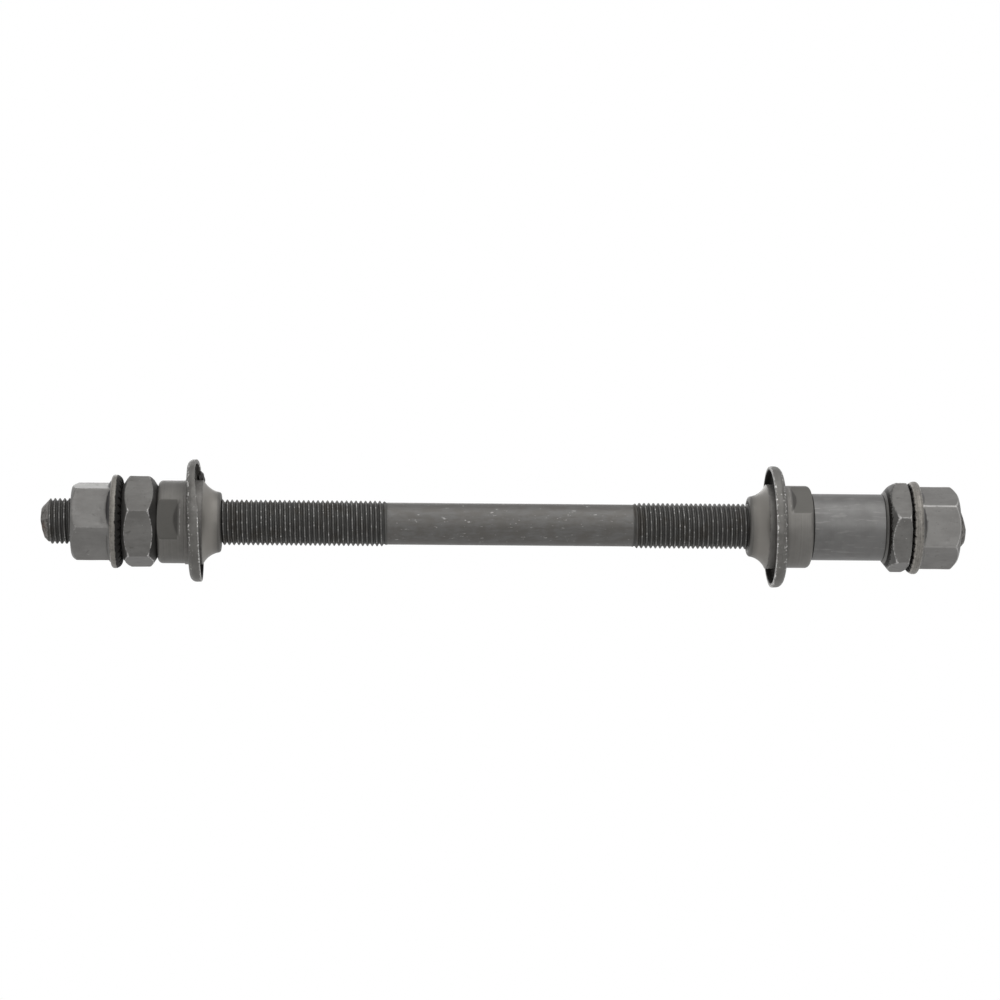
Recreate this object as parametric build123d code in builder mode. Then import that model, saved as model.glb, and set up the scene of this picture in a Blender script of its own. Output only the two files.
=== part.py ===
# Bicycle hub axle: a threaded axle with two bearing cones, two dust caps, lock nuts,
# a spacer tube and two axle nuts, each nut with its own toothed washer.
# Millimetres. The axle lies along X with its middle at the origin, and +Z is up.
from math import cos, radians, sin, sqrt
import os

from build123d import *

# Axle
axle_length = 190.1
thread_diameter = 9.4
plain_diameter = 8.65
left_thread_length = 70.45
right_thread_length = 68.65
thread_runout = 0.5
left_tip_diameter = 5.4
left_tip_taper = 1.85
left_tip_slant = 11.0
right_tip_diameter = 6.2
right_tip_taper = 1.25

# Room between a threaded or sliding bore and the axle, and between faces that meet
thread_clearance = 0.05
spacer_clearance = 0.3
face_gap = 0.05

# Axle nuts
left_stub = 6.25
right_stub = 1.55
nut_across_flats = 14.85
nut_hex_length = 8.05
nut_face_diameter = 14.3
nut_chamfer = 1.15
nut_skirt_length = 0.85
nut_skirt_lip = 0.2
nut_skirt_diameter = 16.9
nut_collar_diameter = 11.8
nut_collar_flare = 0.5

# Toothed washers
washer_diameter = 19.2
washer_thickness = 2.2
washer_face_diameter = 17.9
washer_crown_depth = 0.75
washer_tooth_circle = 16.3
washer_bore_clearance = 0.1
washer_recess_depth = 0.95
washer_recess_flare = 0.9
tooth_count = 34
tooth_groove_width = 0.95
tooth_groove_depth = 0.6
tooth_root_diameter = 14.4

# Lock nuts
lock_across_flats = 16.9
left_lock_thickness = 7.2
left_lock_outer_face_diameter = 14.9
left_lock_outer_chamfer = 1.5
left_lock_inner_face_diameter = 14.4
left_lock_inner_chamfer = 1.7
right_lock_thickness = 5.1
right_lock_inner_face_diameter = 14.0
right_lock_inner_chamfer = 2.3
right_lock_outer_face_diameter = 17.5
right_lock_outer_chamfer = 0.5

# Cones
cone_length = 12.85
cone_body_diameter = 17.0
cone_edge_round = 0.95
cone_land_diameter = 17.4
cone_land_start = 5.5
cone_land_end = 9.1
cone_race_radius = 4.5
cone_nose_diameter = 12.5
cone_nose_round = 0.65
cone_countersink_diameter = 10.6
cone_countersink_depth = 0.6
cone_across_flats = 15.0
cone_flat_length = 3.3
cone_flat_shoulder = 1.4

# Dust caps, pressed from sheet
cap_diameter = 25.1
cap_sheet = 0.85
cap_depth = 2.4
cap_bend_radius = 1.4
left_cap_position = 6.2
right_cap_position = 5.8
cap_clearance = 0.03
left_cap_tilt = 1.9
left_cap_rise = 0.25
right_cap_tilt = -1.2

# Spacer tube
spacer_diameter = 13.75
spacer_length = 15.0
spacer_edge_chamfer = 0.25

# How far each piece stands turned on the axle: the height, in degrees above
# the front, of one corner of a hexagon or of the middle of a wrench flat
left_nut_corner = 51.8
left_lock_corner = 13.6
left_cone_flat = 4.3
right_cone_flat = 48.5
right_lock_corner = 12.5
right_nut_corner = 32.9

# Which way is inward, along X, from each end of the axle
from_left = 1
from_right = -1

# Radii and stations that follow from the sizes above
thread_radius = thread_diameter / 2
plain_radius = plain_diameter / 2
bore_radius = thread_radius + thread_clearance
cut_over = 1.0
half_length = axle_length / 2
washer_outset = nut_hex_length + face_gap
nut_stack = washer_outset + washer_thickness + face_gap

left_nut_face = -half_length + left_stub
left_washer_face = left_nut_face + washer_outset
left_lock_face = left_nut_face + nut_stack
left_cone_face = left_lock_face + left_lock_thickness + face_gap

right_nut_face = half_length - right_stub
right_washer_face = right_nut_face - washer_outset
right_lock_face = right_nut_face - nut_stack
spacer_face = right_lock_face - right_lock_thickness - face_gap
right_cone_face = spacer_face - spacer_length - face_gap


def section_plane(face, inward, tilt=0.0, rise=0.0):
    # Half-section of a turned piece: local x runs inward from its outer face, local y is its radius
    lean = radians(tilt)
    return Plane(
        origin=(face, 0, rise),
        x_dir=(inward * cos(lean), 0, sin(lean)),
        z_dir=(0, -inward, 0),
    )


def cross_plane(station, inward, height=0.0):
    # Plane square to the axle: local z runs inward, local x points the given degrees above the front
    lift = radians(height)
    return Plane(
        origin=(station, 0, 0),
        x_dir=(0, -cos(lift), sin(lift)),
        z_dir=(inward, 0, 0),
    )


def corner_radius(across_flats):
    return across_flats / sqrt(3)


def axle_nut(label, face, inward, corner):
    hex_corner = corner_radius(nut_across_flats)
    face_radius = nut_face_diameter / 2
    collar_radius = nut_collar_diameter / 2
    flare_start = washer_outset + washer_thickness - washer_recess_depth
    collar_end = flare_start + nut_collar_flare
    skirt_start = nut_hex_length - nut_skirt_length
    skirt_radius = nut_skirt_diameter / 2
    section = section_plane(face, inward)
    with BuildPart() as nut:
        # Hexagon, rounded off at its outer end
        with BuildSketch(section):
            with BuildLine():
                Polyline(
                    (0, 0),
                    (0, face_radius),
                    (nut_chamfer, hex_corner),
                    (nut_hex_length, hex_corner),
                    (nut_hex_length, 0),
                    close=True,
                )
            make_face()
        revolve(axis=Axis.X)
        with BuildSketch(cross_plane(face, inward, corner)):
            RegularPolygon(hex_corner, 6)
        extrude(amount=nut_hex_length, mode=Mode.INTERSECT)
        # Skirt that spreads the load, and the flared collar that holds the washer
        with BuildSketch(section):
            with BuildLine():
                Polyline(
                    (skirt_start, 0),
                    (skirt_start, nut_across_flats / 2),
                    (nut_hex_length - nut_skirt_lip, skirt_radius),
                    (nut_hex_length, skirt_radius),
                    (nut_hex_length, collar_radius),
                    (flare_start, collar_radius),
                    (collar_end, collar_radius + nut_collar_flare),
                    (collar_end, 0),
                    close=True,
                )
            make_face()
        revolve(axis=Axis.X)
        with BuildSketch(cross_plane(face, inward)):
            Circle(bore_radius)
        extrude(amount=collar_end, mode=Mode.SUBTRACT)
    nut.part.label = label
    return nut


def toothed_washer(label, face, inward):
    rim_radius = washer_diameter / 2
    bore = nut_collar_diameter / 2 + washer_bore_clearance
    recess_start = washer_thickness - washer_recess_depth
    section = section_plane(face, inward)
    groove_planes = []
    for tooth in range(tooth_count):
        turn = radians(360 * tooth / tooth_count)
        out = Vector(0, -cos(turn), sin(turn))
        groove_planes.append(
            Plane(
                origin=Vector(face, 0, 0) + out * (tooth_root_diameter / 2),
                x_dir=(inward, 0, 0),
                z_dir=out,
            )
        )
    with BuildPart() as washer:
        with BuildSketch(section):
            with BuildLine():
                Polyline((0, bore), (0, washer_face_diameter / 2))
                TangentArc(
                    (washer_crown_depth, rim_radius),
                    (0, washer_face_diameter / 2),
                    tangent=(-1, 0),
                )
                TangentArc(
                    (washer_crown_depth, rim_radius),
                    (washer_thickness, washer_tooth_circle / 2),
                    tangent=(1, 0),
                )
                Polyline(
                    (washer_thickness, washer_tooth_circle / 2),
                    (washer_thickness, bore + washer_recess_flare),
                    (recess_start, bore),
                    (0, bore),
                )
            make_face()
        revolve(axis=Axis.X)
        # Radial grooves that leave the biting teeth
        with BuildSketch(*groove_planes):
            with BuildLine():
                Polyline(
                    (washer_thickness - tooth_groove_depth, 0),
                    (washer_thickness, tooth_groove_width / 2),
                    (washer_thickness + cut_over, tooth_groove_width / 2),
                    (washer_thickness + cut_over, -tooth_groove_width / 2),
                    (washer_thickness, -tooth_groove_width / 2),
                    close=True,
                )
            make_face()
        extrude(amount=rim_radius - tooth_root_diameter / 2 + cut_over, mode=Mode.SUBTRACT)
    washer.part.label = label
    return washer


def lock_nut(label, face, inward, corner, thickness, outer_end, inner_end):
    # Each end is the diameter of its flat face and the depth of its chamfer at the corners
    hex_corner = corner_radius(lock_across_flats)
    outer_diameter, outer_chamfer = outer_end
    inner_diameter, inner_chamfer = inner_end
    with BuildPart() as nut:
        with BuildSketch(section_plane(face, inward)):
            with BuildLine():
                Polyline(
                    (0, bore_radius),
                    (0, outer_diameter / 2),
                    (outer_chamfer, hex_corner),
                    (thickness - inner_chamfer, hex_corner),
                    (thickness, inner_diameter / 2),
                    (thickness, bore_radius),
                    close=True,
                )
            make_face()
        revolve(axis=Axis.X)
        with BuildSketch(cross_plane(face, inward, corner)):
            RegularPolygon(hex_corner, 6)
        extrude(amount=thickness, mode=Mode.INTERSECT)
    nut.part.label = label
    return nut


def flat_cutter(face, inward, flat):
    # What a spanner flat takes off: a ring with a sloping end, less the slab left between the flats
    flat_radius = cone_across_flats / 2
    outside = cone_body_diameter / 2 + cut_over
    flat_end = cone_flat_length + cone_flat_shoulder
    with BuildPart() as cutter:
        with BuildSketch(section_plane(face, inward)):
            with BuildLine():
                Polyline(
                    (-cut_over, flat_radius),
                    (cone_flat_length, flat_radius),
                    (flat_end, cone_body_diameter / 2),
                    (flat_end, outside),
                    (-cut_over, outside),
                    close=True,
                )
            make_face()
        revolve(axis=Axis.X)
        with BuildSketch(cross_plane(face - inward * cut_over, inward, flat)):
            Rectangle(2 * flat_radius, 2 * outside + cut_over)
        extrude(amount=flat_end + 2 * cut_over, mode=Mode.SUBTRACT)
    return cutter


def hub_cone(label, face, inward, flat):
    body_radius = cone_body_diameter / 2
    land_radius = cone_land_diameter / 2
    nose_radius = cone_nose_diameter / 2
    nose_start = cone_length - cone_nose_round
    cutter = flat_cutter(face, inward, flat)
    with BuildPart() as cone:
        with BuildSketch(section_plane(face, inward)):
            with BuildLine():
                Polyline((0, bore_radius), (0, body_radius - cone_edge_round))
                TangentArc(
                    (0, body_radius - cone_edge_round),
                    (cone_edge_round, body_radius),
                    tangent=(0, 1),
                )
                Polyline(
                    (cone_edge_round, body_radius),
                    (cone_land_start, body_radius),
                    (cone_land_start, land_radius),
                    (cone_land_end, land_radius),
                )
                # Hollow race that the balls run in, then the rounded nose
                RadiusArc((cone_land_end, land_radius), (nose_start, nose_radius), -cone_race_radius)
                TangentArc(
                    (nose_start, nose_radius),
                    (cone_length, nose_radius - cone_nose_round),
                    tangent=(1, 0),
                )
                Polyline(
                    (cone_length, nose_radius - cone_nose_round),
                    (cone_length, cone_countersink_diameter / 2),
                    (cone_length - cone_countersink_depth, bore_radius),
                    (0, bore_radius),
                )
            make_face()
        revolve(axis=Axis.X)
        add(cutter.part, mode=Mode.SUBTRACT)
    cone.part.label = label
    return cone


def dust_cap(label, cone_face, inward, position, tilt, rise=0.0):
    back = cone_face + inward * position
    rim = cap_diameter / 2
    hole = cone_land_diameter / 2 + cap_clearance
    lean = radians(tilt)
    with BuildPart() as cap:
        with BuildSketch(section_plane(back, inward, tilt, rise)):
            with BuildLine():
                Polyline((cap_sheet, bore_radius), (0, bore_radius), (0, rim - cap_bend_radius))
                TangentArc(
                    (0, rim - cap_bend_radius),
                    (cap_bend_radius, rim),
                    tangent=(0, 1),
                )
                Polyline(
                    (cap_bend_radius, rim),
                    (cap_depth, rim),
                    (cap_depth, rim - cap_sheet),
                    (cap_bend_radius, rim - cap_sheet),
                )
                TangentArc(
                    (cap_bend_radius, rim - cap_sheet),
                    (cap_sheet, rim - cap_bend_radius),
                    tangent=(-1, 0),
                )
                Line((cap_sheet, rim - cap_bend_radius), (cap_sheet, bore_radius))
            make_face()
        revolve(axis=Axis((back, 0, rise), (inward * cos(lean), 0, sin(lean))))
        # The hole follows the cone, also where the cap sits on it a little askew or high
        with BuildSketch(cross_plane(back - inward * cut_over, inward)):
            Circle(hole)
        extrude(amount=cap_sheet + 2 * cut_over, mode=Mode.SUBTRACT)
    cap.part.label = label
    return cap


# Axle: plain in the middle, threaded at both ends, with tapered tips
with BuildPart() as axle:
    with BuildSketch(section_plane(-half_length, from_left)):
        with BuildLine():
            Polyline(
                (0, 0),
                (0, left_tip_diameter / 2),
                (left_tip_taper, thread_radius),
                (left_thread_length, thread_radius),
                (left_thread_length + thread_runout, plain_radius),
                (axle_length - right_thread_length - thread_runout, plain_radius),
                (axle_length - right_thread_length, thread_radius),
                (axle_length - right_tip_taper, thread_radius),
                (axle_length, right_tip_diameter / 2),
                (axle_length, 0),
                close=True,
            )
        make_face()
    revolve(axis=Axis.X)
    # The lower half of the left tip was sheared off at a slant
    tip_slant = radians(left_tip_slant)
    slant_point = (-half_length, 0, 0)
    slant_normal = (cos(tip_slant), 0, sin(tip_slant))
    split(bisect_by=Plane(origin=slant_point, z_dir=slant_normal), keep=Keep.TOP)
axle.part.label = "axle"

# Left end, from the outside in
left_axle_nut = axle_nut("left_axle_nut", left_nut_face, from_left, left_nut_corner)
left_washer = toothed_washer("left_washer", left_washer_face, from_left)
left_lock_nut = lock_nut(
    "left_lock_nut",
    left_lock_face,
    from_left,
    left_lock_corner,
    left_lock_thickness,
    (left_lock_outer_face_diameter, left_lock_outer_chamfer),
    (left_lock_inner_face_diameter, left_lock_inner_chamfer),
)
left_cone = hub_cone("left_cone", left_cone_face, from_left, left_cone_flat)
left_dust_cap = dust_cap(
    "left_dust_cap",
    left_cone_face,
    from_left,
    left_cap_position,
    left_cap_tilt,
    left_cap_rise,
)

# Right end, from the outside in
right_axle_nut = axle_nut("right_axle_nut", right_nut_face, from_right, right_nut_corner)
right_washer = toothed_washer("right_washer", right_washer_face, from_right)
right_lock_nut = lock_nut(
    "right_lock_nut",
    right_lock_face,
    from_right,
    right_lock_corner,
    right_lock_thickness,
    (right_lock_outer_face_diameter, right_lock_outer_chamfer),
    (right_lock_inner_face_diameter, right_lock_inner_chamfer),
)
with BuildPart() as spacer:
    with BuildSketch(section_plane(spacer_face, from_right)):
        with BuildLine():
            Polyline(
                (0, thread_radius + spacer_clearance),
                (0, spacer_diameter / 2 - spacer_edge_chamfer),
                (spacer_edge_chamfer, spacer_diameter / 2),
                (spacer_length - spacer_edge_chamfer, spacer_diameter / 2),
                (spacer_length, spacer_diameter / 2 - spacer_edge_chamfer),
                (spacer_length, thread_radius + spacer_clearance),
                close=True,
            )
        make_face()
    revolve(axis=Axis.X)
spacer.part.label = "spacer"
right_cone = hub_cone("right_cone", right_cone_face, from_right, right_cone_flat)
right_dust_cap = dust_cap(
    "right_dust_cap", right_cone_face, from_right, right_cap_position, right_cap_tilt
)

os.makedirs("parts", exist_ok=True)
for piece in (
    axle,
    left_axle_nut,
    left_washer,
    left_lock_nut,
    left_cone,
    left_dust_cap,
    right_axle_nut,
    right_washer,
    right_lock_nut,
    spacer,
    right_cone,
    right_dust_cap,
):
    export_step(piece.part, f"parts/{piece.part.label}.step")
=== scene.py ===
import math
import bmesh
import bpy
from mathutils import Matrix, Vector, noise


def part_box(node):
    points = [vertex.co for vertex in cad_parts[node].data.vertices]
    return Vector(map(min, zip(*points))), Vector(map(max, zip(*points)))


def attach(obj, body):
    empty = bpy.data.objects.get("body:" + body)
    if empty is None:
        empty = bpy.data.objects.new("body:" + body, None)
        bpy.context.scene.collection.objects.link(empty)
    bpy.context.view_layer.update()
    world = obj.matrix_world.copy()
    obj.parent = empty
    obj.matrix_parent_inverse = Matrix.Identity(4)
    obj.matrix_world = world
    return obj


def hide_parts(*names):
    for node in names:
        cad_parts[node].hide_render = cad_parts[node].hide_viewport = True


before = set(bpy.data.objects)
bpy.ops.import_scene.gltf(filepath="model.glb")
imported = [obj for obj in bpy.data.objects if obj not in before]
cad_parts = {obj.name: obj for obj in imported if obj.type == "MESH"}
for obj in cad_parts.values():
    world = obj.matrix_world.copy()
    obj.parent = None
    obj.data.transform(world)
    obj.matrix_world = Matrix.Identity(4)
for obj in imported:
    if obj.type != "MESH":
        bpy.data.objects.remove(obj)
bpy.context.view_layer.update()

mm = 0.001
fromLeft = 1
fromRight = -1


# Camera and light

cameraSettings = {
    "lens": 115.2,
    "sensor": 36.0,
    "distance": 659.8,      # mm, to the point of the axle that it looks at
    "aim": -1.15,           # mm along the axle
    "swing": 2.63,          # degrees, stands a little towards the left end
    "roll": 0.49,
    "height": 5.05,         # mm above the axle
}


def addCamera(look):
    swing = math.radians(look["swing"])
    roll = math.radians(look["roll"])
    forward = Vector((math.sin(swing), math.cos(swing), 0))
    right = Vector((math.cos(swing), -math.sin(swing), 0))
    up = Vector((0, 0, 1))
    place = Vector((look["aim"], 0, look["height"])) - forward * look["distance"]
    rolledRight = right * math.cos(roll) + up * math.sin(roll)
    rolledUp = up * math.cos(roll) - right * math.sin(roll)
    turn = Matrix((rolledRight, rolledUp, -forward)).transposed().to_4x4()
    lens = bpy.data.cameras.new("camera")
    lens.lens = look["lens"]
    lens.sensor_width = look["sensor"]
    lens.clip_start = 0.01
    camera = bpy.data.objects.new("camera", lens)
    camera.matrix_world = Matrix.Translation(place * mm) @ turn
    bpy.context.scene.collection.objects.link(camera)
    bpy.context.scene.camera = camera


addCamera(cameraSettings)

lampSettings = (
    {"name": "topLamp", "place": (0.15, -0.30, 0.80), "size": 0.70, "power": 2.9},
    {"name": "frontLamp", "place": (0.25, -0.95, 0.30), "size": 0.60, "power": 2.0},
    {"name": "backLamp", "place": (-0.16, 0.90, 0.27), "size": 0.40, "power": 1.0},
)
roomLight = 0.45


def addLamps():
    for look in lampSettings:
        lamp = bpy.data.lights.new(look["name"], "AREA")
        lamp.size = look["size"]
        lamp.energy = look["power"]
        holder = bpy.data.objects.new(look["name"], lamp)
        holder.location = look["place"]
        holder.rotation_euler = (-Vector(look["place"])).to_track_quat("-Z", "Y").to_euler()
        bpy.context.scene.collection.objects.link(holder)


addLamps()
bpy.context.scene.view_settings.view_transform = "Standard"
print("camera and lamps are in place")


# Shader maths

class Field:
    # A socket that Python's operators work on

    def __init__(self, tree, socket):
        self.tree = tree
        self.socket = socket

    def node(self, kind, settings=None, inputs=None, output=0):
        made = self.tree.nodes.new(kind)
        for name, value in (settings or {}).items():
            setattr(made, name, value)
        for name, value in (inputs or {}).items():
            if isinstance(value, Field):
                self.tree.links.new(value.socket, made.inputs[name])
            else:
                made.inputs[name].default_value = value
        return Field(self.tree, made.outputs[output])

    def math(self, operation, first, second=0.0):
        return self.node("ShaderNodeMath", {"operation": operation}, {0: first, 1: second})

    def __add__(self, other):
        return self.math("ADD", self, other)

    def __radd__(self, other):
        return self.math("ADD", other, self)

    def __sub__(self, other):
        return self.math("SUBTRACT", self, other)

    def __rsub__(self, other):
        return self.math("SUBTRACT", other, self)

    def __mul__(self, other):
        return self.math("MULTIPLY", self, other)

    def __pow__(self, other):
        return self.math("POWER", self, other)

    def size(self):
        return self.math("ABSOLUTE", self)

    def smaller(self, other):
        return self.math("MINIMUM", self, other)

    def larger(self, other):
        return self.math("MAXIMUM", self, other)

    def rise(self, low, high):
        # 0 below low, 1 above high, smooth between them
        limits = {"Value": self, "From Min": low, "From Max": high, "To Min": 0.0, "To Max": 1.0}
        return self.node("ShaderNodeMapRange", {"interpolation_type": "SMOOTHSTEP"}, limits)

    def mixed(self, first, second):
        # Colour first where this is 0, colour second where it is 1
        ends = [c if isinstance(c, Field) else (*c, 1) for c in (first, second)]
        return self.node("ShaderNodeMix", {"data_type": "RGBA"}, {0: self, 6: ends[0], 7: ends[1]}, 2)


class Surface:
    # The fields that the steel finishes share, in millimetres on the piece itself

    def __init__(self, name):
        self.material = bpy.data.materials.new(name)
        self.material.use_nodes = True
        tree = self.material.node_tree
        self.shader = tree.nodes["Principled BSDF"]
        start = Field(tree, tree.nodes.new("ShaderNodeTexCoord").outputs["Object"])
        inMillimetres = {"Vector": start, "Scale": 1000.0}
        self.place = start.node("ShaderNodeVectorMath", {"operation": "SCALE"}, inMillimetres)
        self.x, self.y, self.z = (
            start.node("ShaderNodeSeparateXYZ", {}, {"Vector": self.place}, axis) for axis in range(3)
        )
        self.radius = (self.y * self.y + self.z * self.z) ** 0.5

    def across(self, height):
        # Distance from the axle's centre line, measured at a height in degrees above the front
        lift = math.radians(height)
        return (self.z * math.sin(lift) - self.y * math.cos(lift)).size()

    def stretched(self, x, y, z, shift):
        # Pattern space stretched along the axle or round it
        settings = {"Vector": self.place, "Scale": (x, y, z), "Location": (shift, shift, shift)}
        return self.place.node("ShaderNodeMapping", {"vector_type": "POINT"}, settings)

    def grain(self, scale, detail=3.0, roughness=0.55, where=None):
        inputs = {"Vector": where or self.place, "Scale": scale, "Detail": detail, "Roughness": roughness}
        return self.place.node("ShaderNodeTexNoise", {}, inputs)

    def rings(self, scale):
        # Turning marks: they run round the piece on its sides and its end faces alike
        inputs = {"W": (self.x + self.radius) * scale, "Scale": 1.0, "Detail": 3.0, "Roughness": 0.6}
        return self.place.node("ShaderNodeTexNoise", {"noise_dimensions": "1D"}, inputs)

    def specks(self, scale, amount, where=None):
        # Small bright spots, scarcer as the amount falls
        return self.grain(scale, 2.0, 0.6, where).rise(0.74 - amount, 0.80 - amount)

    def finish(self, colour, roughness, metallic, height, depth):
        tree = self.material.node_tree
        for name, value in (("Base Color", colour), ("Roughness", roughness), ("Metallic", metallic)):
            if isinstance(value, Field):
                tree.links.new(value.socket, self.shader.inputs[name])
            else:
                self.shader.inputs[name].default_value = value
        bump = height.node("ShaderNodeBump", {}, {"Strength": 1.0, "Distance": depth * mm, "Height": height})
        tree.links.new(bump.socket, self.shader.inputs["Normal"])
        return self.material


# Finishes

axleFinish = {
    "plain": (0.118, 0.116, 0.112), "brown": (0.096, 0.091, 0.085), "root": (0.056, 0.055, 0.052),
    "crest": (0.108, 0.106, 0.102), "oily": (0.050, 0.043, 0.034), "bare": (0.52, 0.51, 0.50),
    "rust": (0.10, 0.050, 0.026), "tipDark": (0.060, 0.055, 0.050), "tipLight": (0.205, 0.196, 0.186),
    "sawnDepth": 1.7, "rustDepth": 1.5, "smudges": 0.75, "scuffs": 0.55, "rubbing": 0.50, "sparks": 0.95,
}


def axleMaterial(look, settings):
    steel = Surface("blackenedAxle")
    half = settings["length"] / 2
    left, right = -half + settings["leftThread"], half - settings["rightThread"]
    threaded = 1.0 - (steel.x - left).rise(0.0, 0.4) * (right - steel.x).rise(0.0, 0.4)
    cloud = steel.grain(0.35, 4.0)
    fine = steel.grain(5.0, 4.0, 0.65)
    smear = steel.grain(1.0, 4.0, 0.6, steel.stretched(0.28, 1.0, 1.0, 7.0))
    plain = (cloud * 0.6 + smear * 0.5).rise(0.42, 0.68).mixed(look["brown"], look["plain"])
    smudge = steel.grain(1.0, 3.0, 0.6, steel.stretched(0.40, 1.7, 1.7, 21.0)).rise(0.50, 0.66)
    plain = (smudge * look["smudges"]).mixed(plain, look["brown"])
    scuff = steel.specks(1.0, 0.085, steel.stretched(0.8, 3.0, 3.0, 3.0)) * steel.grain(0.5).rise(0.42, 0.58)
    plain = (scuff * look["scuffs"]).mixed(plain, look["bare"])
    crest = steel.radius.rise(settings["rootRadius"] + 0.10, settings["crestRadius"] - 0.06)
    wear = steel.radius.rise(settings["crestRadius"] - 0.05, settings["crestRadius"] - 0.005)
    rubbed = steel.grain(1.0, 4.0, 0.7, steel.stretched(0.9, 0.45, 0.45, 11.0)).rise(0.46, 0.70)
    spark = steel.specks(2.2, 0.14, steel.stretched(1.6, 0.8, 0.8, 2.0))
    streak = steel.grain(1.0, 3.0, 0.7, steel.stretched(5.5, 0.5, 0.5, 17.0)).rise(0.35, 0.65)
    thread = (crest * 0.65 + streak * 0.35).mixed(look["root"], look["crest"])
    oily = steel.grain(0.30, 4.0, 0.6, steel.stretched(1.0, 1.0, 1.0, 31.0)).rise(0.48, 0.64)
    thread = (oily * 0.5).mixed(thread, look["oily"])
    bright = (rubbed * look["rubbing"] + spark * look["sparks"]) * wear
    thread = bright.smaller(1.0).mixed(thread, look["bare"])
    colour = threaded.mixed(plain, thread)
    # Both sawn tips, and rust on the lower half of the left one
    sawn = (steel.x.size() - (half - look["sawnDepth"])).rise(0.0, 0.25)
    sawnColour = steel.grain(1.3, 4.0, 0.7).rise(0.36, 0.62).mixed(look["tipDark"], look["tipLight"])
    colour = sawn.mixed(colour, sawnColour)
    tip = (-half + look["rustDepth"] - steel.x).rise(0.0, 0.9)
    rust = tip * steel.grain(0.7, 5.0, 0.7).rise(0.40, 0.62) * (-0.2 - steel.z).rise(-0.6, 1.6)
    colour = (rust * 0.8).mixed(colour, look["rust"])
    rough = 0.40 + cloud * 0.18 + threaded * 0.10 + rust * 0.3
    height = fine * 0.6 + smear * 0.5 + scuff * -0.8
    return steel.finish(colour, rough, 0.70 - rust * 0.5, height, 0.012)


def hexFinish(name, look, hexagon):
    # Forged and blackened hexagons: rubbed bright along the corners and along the edges of their bevels, with a
    # painted highlight on the upper corners
    steel = Surface(name)
    flats = hexagon["acrossFlats"] / 2
    hexCorner = 2 * flats / math.sqrt(3)
    depth = (steel.x - hexagon["face"]) * float(hexagon["inward"])
    across = 0.0
    for turn in (30, 90, 150):
        across = steel.across(hexagon["corner"] + turn).larger(across)

    def bevelCone(fromEnd, bevel):
        faceRadius, chamfer = bevel
        return fromEnd * ((hexCorner - faceRadius) / chamfer) + faceRadius

    def bevelEdge(cone):
        # Along the arcs where a bevel runs out on the flats
        return (across - flats).rise(-0.18, -0.09) * (steel.radius - cone).rise(-0.18, -0.09)

    def bevelPoint(cone):
        # Where a bevel takes the end off a corner
        return steel.radius.rise(hexCorner - 0.55, hexCorner - 0.2) * (steel.radius - cone).rise(-0.5, -0.2)

    cloud = steel.grain(0.22, 3.0)
    fine = steel.grain(4.5, 4.0, 0.65)
    drag = steel.grain(1.0, 3.0, 0.6, steel.stretched(0.35, 1.3, 1.3, 5.0))
    base = (cloud * 0.7 + drag * 0.3).rise(0.36, 0.66).mixed(look["dark"], look["light"])
    ragged = steel.grain(1.6, 4.0, 0.7)
    broken = hexagon["broken"]
    edge = steel.radius.rise(hexCorner - 0.16, hexCorner - 0.06) * ragged.rise(broken, broken + 0.20)
    # Corners are painted brighter above than below, a painted highlight over their wear, and the bright bevel
    # arcs fade out above arcTop
    edge = edge * (0.3 + steel.z.rise(-3.0, 0.0) * 0.7)
    outerCone = bevelCone(depth, hexagon["outer"])
    arc, point = bevelEdge(outerCone), bevelPoint(outerCone)
    if hexagon["inner"]:
        fromInner = hexagon["thick"] - depth
        innerCone = bevelCone(fromInner, hexagon["inner"])
        arc, point = arc.larger(bevelEdge(innerCone)), point.larger(bevelPoint(innerCone))
    arc = arc * steel.grain(1.8, 3.0, 0.7).rise(broken, broken + 0.18)
    arc = arc * (1.0 - (steel.z - hexagon["arcTop"]).rise(0.0, 1.0) * 0.75)
    point = point * steel.grain(3.0, 3.0, 0.7).rise(0.46, 0.58)
    nick = steel.specks(1.3, 0.02, steel.stretched(0.8, 1.5, 1.5, 9.0))
    edgeWear, arcWear, pointWear = hexagon["wear"]
    worn = (edge * edgeWear + arc * arcWear + point * pointWear + nick * 0.4).smaller(1.0)
    pits = (1.0 - steel.grain(1.1, 2.0, 0.5, steel.stretched(0.7, 1.2, 1.2, 2.0)).rise(0.26, 0.36)) * 0.4
    colour = pits.mixed(base, look["pit"])
    if hexagon["inner"]:
        # A dirty film on the inner bevel
        filmAndShade = 1.0 - (steel.radius - innerCone).size().rise(0.05, 0.14)
        filmAndShade = filmAndShade * fromInner.rise(hexagon["filmStart"], hexagon["filmStart"] + 0.1) * hexagon["filmAndShade"]
        colour = filmAndShade.mixed(colour, look["grimeAndShade"])
    if hexagon["skirtStart"]:
        # and painted shade in the hollow where the flats run out on the skirt, darker towards the top
        filmAndShade = (across - flats).rise(0.04, 0.14) * (depth - hexagon["skirtStart"]).rise(-0.1, 0.1)
        filmAndShade = filmAndShade * (steel.z + ragged * 3.0).rise(-1.5, 3.0) * hexagon["filmAndShade"]
        colour = filmAndShade.mixed(colour, look["grimeAndShade"])
    colour = worn.mixed(colour, look["bare"])
    metal = look["metal"]
    if hexagon["greaseAndShadeRing"]:
        # and a ragged black ring round the inner bevel: partly old grease, partly painted shade in the gap at
        # the nut's inner end
        start, end = hexagon["greaseAndShadeRing"]
        tooth = steel.grain(2.8, 3.0, 0.7) * 1.5 - 0.75
        ring = (fromInner - start).rise(0.0, 0.06) * (end - fromInner - tooth).rise(0.0, 0.08)
        colour = ring.mixed(colour, look["grimeAndShade"])
        metal = metal + ring * (0.95 - metal)
    rough = look["rough"] + cloud * 0.12 + fine * 0.10 - worn * 0.12
    height = fine * 0.5 + drag * 0.6 + cloud * 1.2 - pits * 1.0
    return steel.finish(colour, rough, metal, height, 0.02)


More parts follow.
